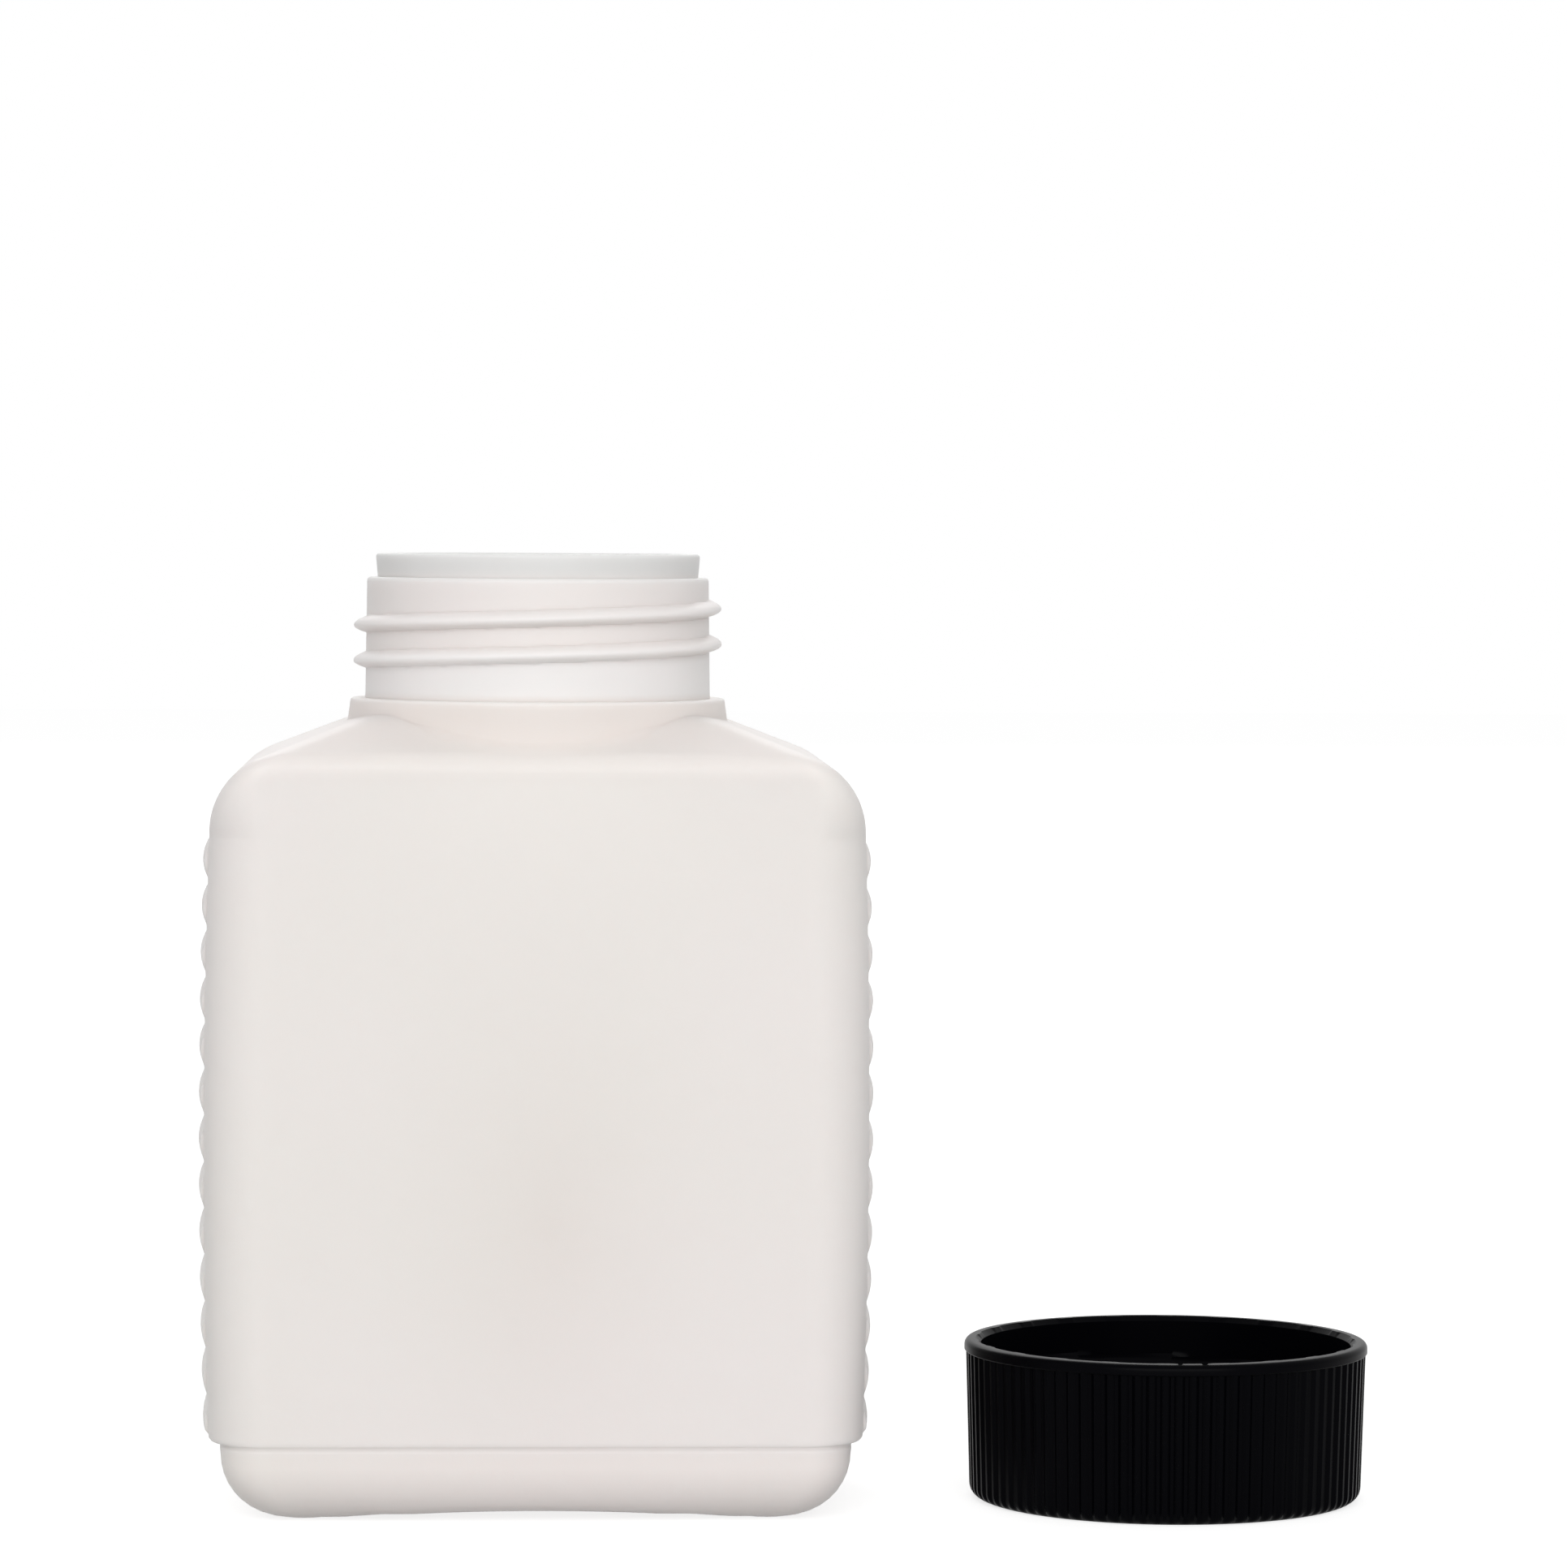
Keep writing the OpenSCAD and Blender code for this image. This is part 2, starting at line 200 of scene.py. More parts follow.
GRIP_SAG = GRIP_CROWN + RIB_RISE - RIB_END
GRIP_R = (GRIP_HALF ** 2 + GRIP_SAG ** 2) / (2 * GRIP_SAG)
GRIP_AXIS = END_W + GRIP_CROWN + RIB_RISE - GRIP_R

# Columns of the bottle's skin in a quarter turn, on the narrow side, the corner and the wide face
SIDE_COLUMNS = 14
CORNER_COLUMNS = 16
FACE_COLUMNS = 24
QUARTER = SIDE_COLUMNS + CORNER_COLUMNS + FACE_COLUMNS
COLUMNS = 4 * QUARTER

# Rings to a rib, and the mark of a ring that no rib stands out of
RIB_STEPS = 12
NO_GRIP = -1

# Pace of the shoulder's rings at its edge, and the halvings that find its height at a place
SHOULDER_START = 0.35
HALVINGS = 28

# Angles in degrees over which an edge is shaded sharp
BOTTLE_SHARP = 40
CAP_SHARP = 30

# Columns of the cap's skin
KNURL_STEPS = 8
CAP_COLUMNS = KNURL_COUNT * KNURL_STEPS

# Tints of the polyethylene, from the body up to the lip, and in the middle of the wide panels: painted
# shade on the shoulder under the collar, on the collar and up the neck to the lip, painted light on the
# band under the thread, and painted shade in the middle of the wide panels
BODY_TINT = (1, 1, 1)
SHOULDER_SHADE = (0.95, 0.93, 0.93)
COLLAR_SHADE = (0.91, 0.9, 0.9)
BAND_LIGHT = (0.975, 1.005, 1.035)
THREAD_SHADE = (0.945, 0.955, 0.97)
UPPER_NECK_SHADE = (0.93, 0.94, 0.955)
LIP_SHADE = (0.815, 0.855, 0.875)
PANEL_SHADE = (0.94, 0.93, 0.925)
# Middle and reach of the panels' painted shade in metres, the same all through the depth
PANEL_MIDDLE = (0.002, 0, 0.042)
PANEL_SPREAD = (0.034, 100, 0.062)


# ---------------------------------------------------------------- meshes

class Skin:
    """Rings of a closed skin, with named numbers that its points carry for the node trees."""

    def __init__(self, **usual):
        self.rings = []
        self.usual = usual
        self.marks = {name: [] for name in usual}

    def add(self, rings, **marks):
        self.rings += rings
        for name, number in self.usual.items():
            self.marks[name] += [marks.get(name, number)] * len(rings)


def skin_object(name, skin):
    """An object at the origin from a skin, with a pole at each end."""
    rings = skin.rings
    n = len(rings[0])
    points = [p for ring in rings for p in ring]
    first, last = len(points), len(points) + 1
    for ring in (rings[0], rings[-1]):
        points.append(tuple(sum(p[i] for p in ring) / n for i in range(3)))
    faces = [(first, (i + 1) % n, i) for i in range(n)]
    for k in range(len(rings) - 1):
        a, b = k * n, (k + 1) * n
        faces += [(a + i, a + (i + 1) % n, b + (i + 1) % n, b + i) for i in range(n)]
    end = (len(rings) - 1) * n
    faces += [(end + i, end + (i + 1) % n, last) for i in range(n)]
    mesh = bpy.data.meshes.new(name)
    mesh.from_pydata([(x * MM, y * MM, z * MM) for x, y, z in points], [], faces)
    for mark, numbers in skin.marks.items():
        layer = mesh.attributes.new(mark, "FLOAT", "POINT")
        poles = [numbers[0], numbers[-1]]
        layer.data.foreach_set("value", [number for number in numbers for _ in range(n)] + poles)
    obj = bpy.data.objects.new(name, mesh)
    bpy.context.scene.collection.objects.link(obj)
    return obj


def circle_ring(r, z):
    return [(r * cos(2 * pi * i / COLUMNS), r * sin(2 * pi * i / COLUMNS), z) for i in range(COLUMNS)]


def steps(count, start=0.0, end=1.0):
    """Evenly spaced numbers, with both ends."""
    return [start + (end - start) * i / count for i in range(count + 1)]


# ---------------------------------------------------------------- node trees

def shape_tree(name, sizes):
    """A Geometry Nodes tree with a named input for each size, and its inputs."""
    tree = bpy.data.node_groups.new(name, "GeometryNodeTree")
    tree.interface.new_socket("Skin", in_out="INPUT", socket_type="NodeSocketGeometry")
    for size in sizes:
        tree.interface.new_socket(size, in_out="INPUT", socket_type="NodeSocketFloat")
    tree.interface.new_socket("Finish", in_out="INPUT", socket_type="NodeSocketMaterial")
    tree.interface.new_socket("Skin", in_out="OUTPUT", socket_type="NodeSocketGeometry")
    return tree, tree.nodes.new("NodeGroupInput").outputs


def reckon(tree, operation, *values):
    """Result of a Math node on sockets and plain numbers."""
    node = tree.nodes.new("ShaderNodeMath")
    node.operation = operation
    for socket, value in zip(node.inputs, values):
        if isinstance(value, bpy.types.NodeSocket):
            tree.links.new(value, socket)
        else:
            socket.default_value = value
    return node.outputs["Value"]


def product(tree, *values):
    total = values[0]
    for value in values[1:]:
        total = reckon(tree, "MULTIPLY", total, value)
    return total


def clamped(tree, value):
    return reckon(tree, "MINIMUM", reckon(tree, "MAXIMUM", value, 0.0), 1.0)


def point_place(tree):
    """X, Y and Z of a point."""
    position = tree.nodes.new("GeometryNodeInputPosition")
    axes = tree.nodes.new("ShaderNodeSeparateXYZ")
    tree.links.new(position.outputs["Position"], axes.inputs["Vector"])
    return axes.outputs["X"], axes.outputs["Y"], axes.outputs["Z"]


def point_mark(tree, name):
    """Number that the skin carries at a point."""
    mark = tree.nodes.new("GeometryNodeInputNamedAttribute")
    mark.data_type = "FLOAT"
    mark.inputs["Name"].default_value = name
    return mark.outputs["Attribute"]


def point_angle(tree, size, x, y):
    """Angle of a point round the piece's upright axis."""
    return reckon(tree, "ARCTAN2", reckon(tree, "SUBTRACT", y, size["Axis Y"]),
                  reckon(tree, "SUBTRACT", x, size["Axis X"]))


def end_tree(tree, inputs, x, y=None):
    """Moves each point by x and y, and ends the tree."""
    offset = tree.nodes.new("ShaderNodeCombineXYZ")
    move = tree.nodes.new("GeometryNodeSetPosition")
    realize = tree.nodes.new("GeometryNodeRealizeInstances")
    finish = tree.nodes.new("GeometryNodeSetMaterial")
    output = tree.nodes.new("NodeGroupOutput")
    tree.links.new(x, offset.inputs["X"])
    if y:
        tree.links.new(y, offset.inputs["Y"])
    tree.links.new(inputs["Skin"], move.inputs["Geometry"])
    tree.links.new(offset.outputs["Vector"], move.inputs["Offset"])
    tree.links.new(move.outputs["Geometry"], realize.inputs["Geometry"])
    tree.links.new(realize.outputs["Geometry"], finish.inputs["Geometry"])
    tree.links.new(inputs["Finish"], finish.inputs["Material"])
    tree.links.new(finish.outputs["Geometry"], output.inputs["Skin"])


def end_round_tree(tree, inputs, out, angle):
    """Moves each point straight out from the piece's axis, and ends the tree."""
    end_tree(tree, inputs, product(tree, out, reckon(tree, "COSINE", angle)),
             product(tree, out, reckon(tree, "SINE", angle)))


def shape_piece(obj, trees, finish, sharp):
    """Puts the object's skin through its trees and keeps the result as a plain smooth mesh."""
    for tree, sizes in trees:
        modifier = obj.modifiers.new(tree.name, "NODES")
        modifier.node_group = tree
        for socket in tree.interface.items_tree:
            if socket.name in sizes:
                modifier[socket.identifier] = sizes[socket.name]
            elif socket.name == "Finish":
                modifier[socket.identifier] = finish
    mesh = bpy.data.meshes.new_from_object(obj.evaluated_get(bpy.context.evaluated_depsgraph_get()))
    obj.modifiers.clear()
    for mark in [layer.name for layer in mesh.attributes if layer.data_type == "FLOAT"]:
        mesh.attributes.remove(mesh.attributes[mark])
    obj.data = mesh
    mesh.name = obj.name
    mesh.validate()
    mesh.shade_smooth()
    mesh.set_sharp_from_angle(angle=radians(sharp))


# ---------------------------------------------------------------- threads

def thread_tree():
    """A right-hand ridge wound down round an axis, with a steeper lower flank and tapered ends."""
    tree, size = shape_tree("thread", neck_thread_sizes())
    x, y, z = point_place(tree)
    angle = point_angle(tree, size, x, y)
    whole_turn = 2 * pi
    back = reckon(tree, "WRAP", reckon(tree, "SUBTRACT", size["Start Angle"], angle), whole_turn, 0.0)
    length = product(tree, size["Turns"], whole_turn)
    above = reckon(tree, "SUBTRACT", z, size["Start Height"])
    ridge = 0.0
    for turn in range(ceil(THREAD_TURNS)):
        wound = reckon(tree, "ADD", back, whole_turn * turn)
        to_end = reckon(tree, "MINIMUM", wound, reckon(tree, "SUBTRACT", length, wound))
        taper = clamped(tree, reckon(tree, "DIVIDE", to_end, size["Run Out"]))
        fall = product(tree, wound, size["Pitch"], 1 / whole_turn)
        up = reckon(tree, "ADD", above, fall)
        upper = reckon(tree, "DIVIDE", up, size["Upper Flank"])
        lower = reckon(tree, "DIVIDE", product(tree, up, -1.0), size["Lower Flank"])
        flank = reckon(tree, "MAXIMUM", upper, lower)
        rest = clamped(tree, reckon(tree, "SUBTRACT", 1.0, product(tree, flank, flank)))
        crest = product(tree, reckon(tree, "POWER", rest, size["Crest Power"]), taper)
        ridge = reckon(tree, "MAXIMUM", ridge, crest)
    out = product(tree, ridge, size["Rise"], point_mark(tree, "thread_share"))
    end_round_tree(tree, size, out, angle)
    return tree


def thread_sizes(axis, start_angle, start_z, turns, rise):
    """Sizes of a thread tree, in metres and radians. A rise below 0 stands in towards the axis."""
    return {"Axis X": axis[0] * MM, "Axis Y": axis[1] * MM, "Start Angle": radians(start_angle),
            "Start Height": start_z * MM, "Turns": turns, "Pitch": THREAD_PITCH * MM, "Rise": rise * MM,
            "Upper Flank": FLANK_UP * MM, "Lower Flank": FLANK_DOWN * MM, "Crest Power": CREST_POWER,
            "Run Out": radians(THREAD_RUN_OUT)}


def neck_thread_sizes():
    return thread_sizes((0, 0), THREAD_ANGLE, TOP_Z - THREAD_START, THREAD_TURNS, THREAD_RISE)


def cap_thread_sizes():
    rise = CAVITY_R - NECK_R - NECK_DRAFT - THREAD_CLEAR
    return thread_sizes((CAP_X, CAP_Y), 0.0, CAP_H - CAP_THREAD_START, CAP_TURNS, -rise)


# ---------------------------------------------------------------- bottle

def plan_point(column, half_w, half_d, corner):
    """Point of a rounded rectangle at a column of the skin."""
    quarter, i = divmod(column, QUARTER)
    flip = quarter % 2 == 1
    if flip:
        i = QUARTER - i
    if i <= SIDE_COLUMNS:
        x, y = half_w, (half_d - corner) * sin(pi / 2 * i / SIDE_COLUMNS)
    elif i <= SIDE_COLUMNS + CORNER_COLUMNS:
        a = pi / 2 * (i - SIDE_COLUMNS) / CORNER_COLUMNS
        x, y = half_w - corner + corner * cos(a), half_d - corner + corner * sin(a)
    else:
        x = (half_w - corner) * (QUARTER - i) / FACE_COLUMNS
        y = half_d
    return (x if quarter in (0, 3) else -x, y if quarter < 2 else -y)


def side_at(z, skin):
    """Half width of the body at a height, at a depth of skin below the outside."""
    roll = SIDE_ROLL - skin
    roll_end = WALL_TOP + roll * cos(SIDE_SLOPE)
    if z <= WALL_TOP:
        u = 2 * (z - WALL_FOOT) / (WALL_TOP - WALL_FOOT) - 1
        return END_W + SIDE_SWELL * (1 - u * u) - skin
    if z <= roll_end:
        return END_W - SIDE_ROLL + sqrt(roll * roll - (z - WALL_TOP) ** 2)
    return END_W - SIDE_ROLL + roll * sin(SIDE_SLOPE) - (z - roll_end) / tan(SIDE_SLOPE)


def face_at(z, skin):
    """Half depth of the body at a height, at a depth of skin below the outside."""
    roll = FACE_ROLL - skin
    roll_end = FACE_TOP + roll * cos(FACE_SLOPE)
    if z <= FACE_TOP:
        return HALF_D - skin
    if z <= roll_end:
        return HALF_D - FACE_ROLL + sqrt(roll * roll - (z - FACE_TOP) ** 2)
    return HALF_D - FACE_ROLL + roll * sin(FACE_SLOPE) - (z - roll_end) / tan(FACE_SLOPE)


def corner_at(z, skin):
    """Corner radius of the body at a height."""
    share = max(0.0, min(1.0, (z - WALL_TOP) / SIDE_RISE))
    return max(LEAST_CORNER_R, CORNER_R + (HIP_R - CORNER_R) * share - skin)


def arch_lift(x):
    """Height of the lifted standing edge between the corners."""
    reach = FOOT_W - FOOT_ROLL - STAND_W
    r = (reach * reach + FOOT_ARCH * FOOT_ARCH) / (2 * FOOT_ARCH)
    return FOOT_ARCH - r + sqrt(r * r - x * x)


def plan_ring(half_w, half_d, corner, z):
    """Ring of a rounded rectangle."""
    return [(*plan_point(c, half_w, half_d, corner), z) for c in range(COLUMNS)]


def foot_ring(inset, z):
    """Ring set in from the foot's plan, lifted where the standing edge arches."""
    corner = max(FOOT_EDGE_CORNER, FOOT_CORNER - FOOT_CORNER_FALL * inset)
    ring = plan_ring(FOOT_W - inset, FOOT_D - inset, corner, z)
    return [(x, y, max(z, arch_lift(x))) for x, y, z in ring]


def foot_rings(skin):
    """Pushed-up base panel, standing edge, and the roll up to the foot's wall."""
    edge = FOOT_ROLL + STAND_W
    rings = [plan_ring(FOOT_W - edge - inset, FOOT_D - edge - inset, PANEL_CORNER, PUSH_UP + skin)
             for inset in (4 * PANEL_RUN, 2 * PANEL_RUN)]
    rings.append(foot_ring(edge + PANEL_RUN, PANEL_RISE + skin))
    rings.append(foot_ring(edge + STAND_EDGE_W, skin + STAND_EDGE_H))
    rings.append(foot_ring(edge, skin))
    roll = FOOT_ROLL - skin
    for a in steps(10, pi / 2, 0.0):
        rings.append(foot_ring(FOOT_ROLL - roll * cos(a), FOOT_ROLL - roll * sin(a)))
    return rings


def step_rings(skin):
    """A fine bead on the foot's wall, a hollow, and the body's wall rounded in over it."""
    profile = [(0.0, BEAD_OUT, BEAD_Z), (0.0, BEAD_OUT, BEAD_Z + BEAD_H)]
    for a in steps(4, 0.0, pi / 2):
        profile.append((LEDGE_HOLLOW * (1 - cos(a)), HOLLOW_OUT, LEDGE - LEDGE_HOLLOW * (1 - sin(a))))
    for a in steps(6, 0.0, pi / 2):
        out = FOOT_INSET - LEDGE_ROUND * (1 - sin(a))
        profile.append((out, 0.0, LEDGE + LEDGE_ROUND * (1 - cos(a))))
    share = FACE_INSET / FOOT_INSET
    return [plan_ring(FOOT_W + out + bead - skin, FOOT_D + out * share + bead - skin,
                      FOOT_CORNER + out - skin, FOOT_H + up) for out, bead, up in profile]


def wall_levels(rib_steps):
    """Heights of the wall's rings, with one in every groove between two ribs."""
    levels = [RIB_LOW + RIB_PITCH * i / rib_steps for i in range(RIB_COUNT * rib_steps + 1)]
    return [z for z in levels if z > FOOT_H + LEDGE + LEDGE_ROUND + LEVEL_GAP] + [WALL_TOP]


def wall_ring(z, skin):
    """Ring of the body, before the ribs stand out of it."""
    return plan_ring(side_at(z, skin), face_at(z, skin), corner_at(z, skin), z)


def rib_tree():
    """Ribs that stand out of the narrow sides, each an arc upwards and a long arc across."""
    tree, size = shape_tree("grip_ribs", rib_sizes())
    x, y, z = point_place(tree)
    depth = point_mark(tree, "grip_depth")
    wide = reckon(tree, "ABSOLUTE", x)
    half_pitch = reckon(tree, "DIVIDE", size["Rib Pitch"], 2.0)

    # Height above the middle of the nearest rib, and how far that rib reaches from the grip's axis
    above_groove = reckon(tree, "SUBTRACT", z, size["Lowest Groove"])
    above_first = reckon(tree, "SUBTRACT", above_groove, half_pitch)
    up = reckon(tree, "WRAP", above_first, half_pitch, product(tree, half_pitch, -1.0))
    rib_out = leg_of_arc(tree, reckon(tree, "SUBTRACT", size["Rib Radius"], depth), up)
    swell = reckon(tree, "SUBTRACT", reckon(tree, "ADD", wide, depth), size["Wall Half Width"])
    groove_radius = reckon(tree, "SUBTRACT", size["Grip Radius"], size["Rib Radius"])
    crown = reckon(tree, "ADD", reckon(tree, "ADD", groove_radius, swell), rib_out)
    across = leg_of_arc(tree, crown, y)
    reach = reckon(tree, "ADD", size["Grip Axis"], across)

    # The wall and the rib run into each other over the blend
    apart = reckon(tree, "ABSOLUTE", reckon(tree, "SUBTRACT", wide, reach))
    near = reckon(tree, "MAXIMUM", reckon(tree, "SUBTRACT", size["Blend"], apart), 0.0)
    round_off = reckon(tree, "DIVIDE", product(tree, near, near, 0.25), size["Blend"])
    ribbed = reckon(tree, "ADD", reckon(tree, "MAXIMUM", wide, reach), round_off)

    # Only the wall's rings between the lowest and the highest groove, clear of the corners
    ribs_height = product(tree, size["Rib Count"], size["Rib Pitch"])
    last_groove = reckon(tree, "ADD", size["Lowest Groove"], ribs_height)
    below_last = reckon(tree, "LESS_THAN", z, reckon(tree, "SUBTRACT", last_groove, MARGIN))
    on_side = reckon(tree, "LESS_THAN", reckon(tree, "ABSOLUTE", y),
                     reckon(tree, "SUBTRACT", size["Grip Half Depth"], MARGIN))
    on_wall = reckon(tree, "GREATER_THAN", depth, NO_GRIP / 2)
    out = product(tree, reckon(tree, "SUBTRACT", ribbed, wide), below_last, on_side, on_wall)
    end_tree(tree, size, product(tree, out, reckon(tree, "SIGN", x)))
    return tree


def leg_of_arc(tree, radius, across):
    """How far an arc's point lies from its middle along one axis, from its place on the other."""
    rest = reckon(tree, "SUBTRACT", product(tree, radius, radius), product(tree, across, across))
    return reckon(tree, "SQRT", rest)


def rib_sizes():
    """Sizes of the rib tree, in metres."""
    return {"Rib Count": float(RIB_COUNT), "Rib Pitch": RIB_PITCH * MM, "Rib Radius": RIB_R * MM,
            "Lowest Groove": RIB_LOW * MM, "Grip Radius": GRIP_R * MM, "Grip Axis": GRIP_AXIS * MM,
            "Grip Half Depth": GRIP_HALF * MM, "Wall Half Width": END_W * MM, "Blend": RIB_BLEND * MM}


def soft_max(a, b, blend):
    """The larger of two numbers, rounded off where they are close."""
    h = max(blend - abs(a - b), 0.0) / blend
    return max(a, b) + h * h * blend / 4


def shoulder_height(x, y, skin):
    """Height at which the shoulder passes over a place on the plan."""
    low, high = FACE_TOP - 1, COLLAR_Z + 4
    for _ in range(HALVINGS):
        z = (low + high) / 2
        corner = corner_at(z, skin)
        w, d = side_at(z, skin) - corner, face_at(z, skin) - corner
        dx, dy = abs(x) - w, abs(y) - d
        outside = hypot(max(dx, 0), max(dy, 0)) + min(max(dx, dy), 0) - corner
        if outside < 0:
            low = z
        else:
            high = z
    return -soft_max(-(low + high) / 2, -RIDGE_Z - HIP_LIMIT, HIP_BLEND)


def shoulder_rings(radius, skin, count):
    """From the top of the wide faces in to a circle round the neck."""
    outer = wall_ring(FACE_TOP, skin)
    inner = circle_ring(radius, 0)
    rings = []
    for step in steps(count)[1:]:
        t = SHOULDER_START * step + (1 - SHOULDER_START) * step * step
        ring = []
        for (x0, y0, _), (x1, y1, _) in zip(outer, inner):
            x, y = x0 + (x1 - x0) * t, y0 + (y1 - y0) * t
            ring.append((x, y, shoulder_height(x, y, skin)))
        rings.append(ring)
    return rings


def edge_rings(r, z, edge, count):
    """A rounded outer edge, with its top at height z."""
    return [circle_ring(r - edge * (1 - cos(a)), z - edge * (1 - sin(a)))
            for a in steps(count, 0.0, pi / 2)]


def collar_rings():
    """Fillet out of the shoulder, as high as it has room for, and the tapered collar above it."""
    top = COLLAR_Z - EDGE_R
    circle = circle_ring(COLLAR_R, 0)
    room = [top - shoulder_height(x, y, 0.0) for x, y, _ in circle]
    shares = [min(1.0, max(LEAST_FILLET, (free - FILLET_ROOM) / COLLAR_FILLET)) for free in room]
    rings = []
    for a in steps(6, 0.0, pi / 2)[1:]:
        ring = []
        for (x, y, _), share in zip(circle, shares):
            wide = 1 + COLLAR_FILLET * share * (1 - sin(a)) / COLLAR_R
            z = shoulder_height(x * wide, y * wide, 0.0)
            ring.append((x * wide, y * wide, z + FILLET_RISE * share * (1 - cos(a))))
        rings.append(ring)
    foot = rings[-1]
    for t in steps(5)[1:-1]:
        narrow = 1 - COLLAR_TAPER / COLLAR_R * t
        rings.append([(x * narrow, y * narrow, z + (top - z) * t) for x, y, z in foot])
    return rings + edge_rings(COLLAR_R - COLLAR_TAPER, COLLAR_Z, EDGE_R, 4)


def neck_rings():
    """The neck's tapered wall, before its thread stands out of it."""
    rings = []
    for z in steps(76, COLLAR_Z, STEP_Z - EDGE_R):
        draft = NECK_DRAFT * (STEP_Z - z) / (STEP_Z - COLLAR_Z)
        rings.append(circle_ring(NECK_R + draft, z))
    return rings


def lip_rings():
    """The step to the lip ring, the lip and the bore."""
    rings = edge_rings(NECK_R, STEP_Z, EDGE_R, 3)[1:]
    rings.append(circle_ring(LIP_R - LIP_TAPER, STEP_Z))
    rings += edge_rings(LIP_R, TOP_Z, EDGE_R, 5)
    rings += [circle_ring(MOUTH_R + MOUTH_EDGE, TOP_Z), circle_ring(MOUTH_R, TOP_Z - MOUTH_EDGE)]
    return rings + [circle_ring(MOUTH_R, z) for z in steps(6, TOP_Z - 1, COLLAR_Z - COLLAR_WALL / 2)]


def inner_shoulder_rings():
    """From the bore out under the shoulder to the top of the wide faces."""
    rings = shoulder_rings(COLLAR_R - COLLAR_WALL, WALL, 16)[::-1]
    bore_end = [(x, y, max(z + BORE_EDGE, RIDGE_Z - COLLAR_WALL)) for x, y, z in rings[0]]
    return [bore_end] + rings


def make_bottle(finish, thread):
    skin = Skin(grip_depth=NO_GRIP, thread_share=0.0)
    skin.add(foot_rings(0.0))
    skin.add(step_rings(0.0))
    skin.add([wall_ring(z, 0.0) for z in wall_levels(RIB_STEPS)], grip_depth=0.0)
    skin.add([wall_ring(z, 0.0) for z in steps(12, WALL_TOP, FACE_TOP)[1:]])
    skin.add(shoulder_rings(COLLAR_R + COLLAR_FILLET, 0.0, 26))
    skin.add(collar_rings())
    skin.add(neck_rings(), thread_share=1.0)
    skin.add(lip_rings())
    skin.add(inner_shoulder_rings())
    skin.add([wall_ring(z, WALL) for z in steps(5, FACE_TOP, WALL_TOP)[:-1]])
    skin.add([wall_ring(z, WALL) for z in wall_levels(RIB_STEPS // 2)[::-1]], grip_depth=WALL * MM)
    skin.add(step_rings(WALL)[::-2])
    skin.add(foot_rings(BASE_WALL)[::-1])
    bottle = skin_object("bottle_shell", skin)
    trees = ((rib_tree(), rib_sizes()), (thread, neck_thread_sizes()))
    shape_piece(bottle, trees, finish, BOTTLE_SHARP)
    return bottle


# ---------------------------------------------------------------- cap

def cap_point(column, r, z):
    """Point of the cap's skin at a distance from the cap's axis."""
    a = 2 * pi * column / CAP_COLUMNS
    return CAP_X + r * cos(a), CAP_Y + r * sin(a), z


def cap_ring(r, z):
    return [cap_point(i, r, z) for i in range(CAP_COLUMNS)]


def lip_flat_ring(r, z, nick_depth):
    """Ring of the lip's flat or chamfer, with two fine nicks."""
    ring = []
    for i in range(CAP_COLUMNS):
        a = 360 * i / CAP_COLUMNS
        nicked = any(abs((a - nick + 180) % 360 - 180) < NICK_SPAN / 2 for nick in NICK_ANGLES)
        ring.append(cap_point(i, r, z - nick_depth if nicked else z))
    return ring


def plug_rings():
    """The land round the cavity's end, the sealing ring inside it, and the well's floor."""
    land_z, top_z = CAP_END + LAND_H, CAP_END + PLUG_H
    seal_r = MOUTH_R - PLUG_CLEAR
    well_r = seal_r - PLUG_WALL
    profile = [(NECK_R, land_z), (seal_r, land_z), (seal_r, top_z - PLUG_LEAD),
               (seal_r - PLUG_LEAD, top_z), (well_r + PLUG_EDGE, top_z), (well_r, top_z - PLUG_EDGE),
               (well_r, CAP_END)]
    return [cap_ring(r, z) for r, z in profile] + [cap_ring(r, CAP_END) for r in WELL_RINGS]


def knurl_tree():
    """Knurls cut into the skirt, and even pads that stand in from the lip."""
    tree, size = shape_tree("knurls_and_pads", knurl_sizes())
    x, y, z = point_place(tree)
    angle = point_angle(tree, size, x, y)

    wave = reckon(tree, "COSINE", product(tree, angle, size["Knurl Count"]))
    groove = reckon(tree, "SUBTRACT", size["Knurl Middle"], product(tree, wave, size["Knurl Swing"]))
    knurl = product(tree, clamped(tree, groove), size["Knurl Depth"], point_mark(tree, "knurl_share"))

    half_gap = reckon(tree, "DIVIDE", pi, size["Pad Count"])
    from_pad = reckon(tree, "WRAP", reckon(tree, "SUBTRACT", angle, size["Pad Turn"]), half_gap,
                      product(tree, half_gap, -1.0))
    half_span = product(tree, size["Pad Span"], 0.5)
    inside = reckon(tree, "SUBTRACT", half_span, reckon(tree, "ABSOLUTE", from_pad))
    on_pad = clamped(tree, reckon(tree, "ADD", reckon(tree, "DIVIDE", inside, size["Pad Edge"]), 0.5))
    pad = product(tree, on_pad, size["Pad Width"], point_mark(tree, "pad_share"))

    end_round_tree(tree, size, product(tree, reckon(tree, "ADD", knurl, pad), -1.0), angle)
    return tree


def knurl_sizes():
    """Sizes of the knurl tree, in metres and radians."""
    return {"Axis X": CAP_X * MM, "Axis Y": CAP_Y * MM,
            "Knurl Count": float(KNURL_COUNT), "Knurl Depth": KNURL_DEPTH * MM,
            "Knurl Middle": KNURL_MIDDLE, "Knurl Swing": KNURL_SWING,
            "Pad Count": float(PAD_COUNT), "Pad Width": PAD_W * MM,
            "Pad Span": radians(PAD_SPAN), "Pad Edge": radians(PAD_EDGE), "Pad Turn": radians(PAD_TURN)}


